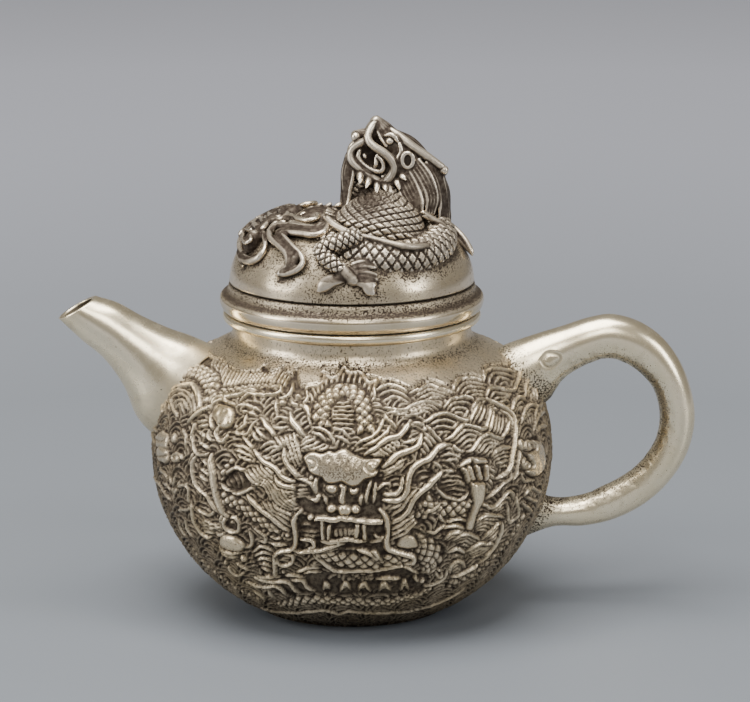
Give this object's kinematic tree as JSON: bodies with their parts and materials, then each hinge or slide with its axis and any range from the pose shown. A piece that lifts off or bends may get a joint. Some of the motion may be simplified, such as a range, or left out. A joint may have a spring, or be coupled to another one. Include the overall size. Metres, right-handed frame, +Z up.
{
  "type": "teapot",
  "caption": "Squat round silver teapot with raised dragon and wave relief, short plain spout, ring handle and a lift-off domed lid topped by a coiled dragon.",
  "frame": {"origin": "centre of the flat underside of the pot", "axes": "+Z up along the pot's axis, +X from the spout towards the handle, -Y towards the side with the full dragon face"},
  "size_m": [0.1654, 0.1052, 0.1298],
  "materials": {
    "relief_silver": "cast and chased silver, dark tarnish in the hollows, rubbed bright on the ridges",
    "plain_silver": "polished silver with a warm tarnish and small dark pits",
    "inside_silver": "dull tarnished silver",
    "lid_silver": "polished silver, dark pits beside the castings and in the moulding",
    "dragon_silver": "cast silver, blackened hollows and bright worn edges"
  },
  "bodies": {
    "pot": {"body_shell": "relief_silver", "base_plate": "plain_silver", "neck_ring": "plain_silver", "spout": "plain_silver", "spout_strainer": "inside_silver", "handle": "plain_silver"},
    "lid": {"lid_dome": "lid_silver", "lid_flange": "lid_silver", "lid_bezel": "inside_silver", "dragon_coil": "dragon_silver", "dragon_neck": "dragon_silver", "dragon_head": "dragon_silver", "dragon_mane": "dragon_silver", "dragon_beard": "dragon_silver", "horn_near": "dragon_silver", "horn_far": "dragon_silver", "foreleg_near": "dragon_silver", "hind_leg_far": "dragon_silver", "dragon_haunch": "dragon_silver", "tail_tip": "dragon_silver", "ribbon_scroll": "dragon_silver", "cloud_scroll": "dragon_silver", "flame_pearl": "dragon_silver"}
  },
  "joints": [
    {"name": "lid_lift", "type": "slide", "parent": "pot", "child": "lid", "axis": [0, 0, 1], "range_m": [0, 0.05]}
  ]
}
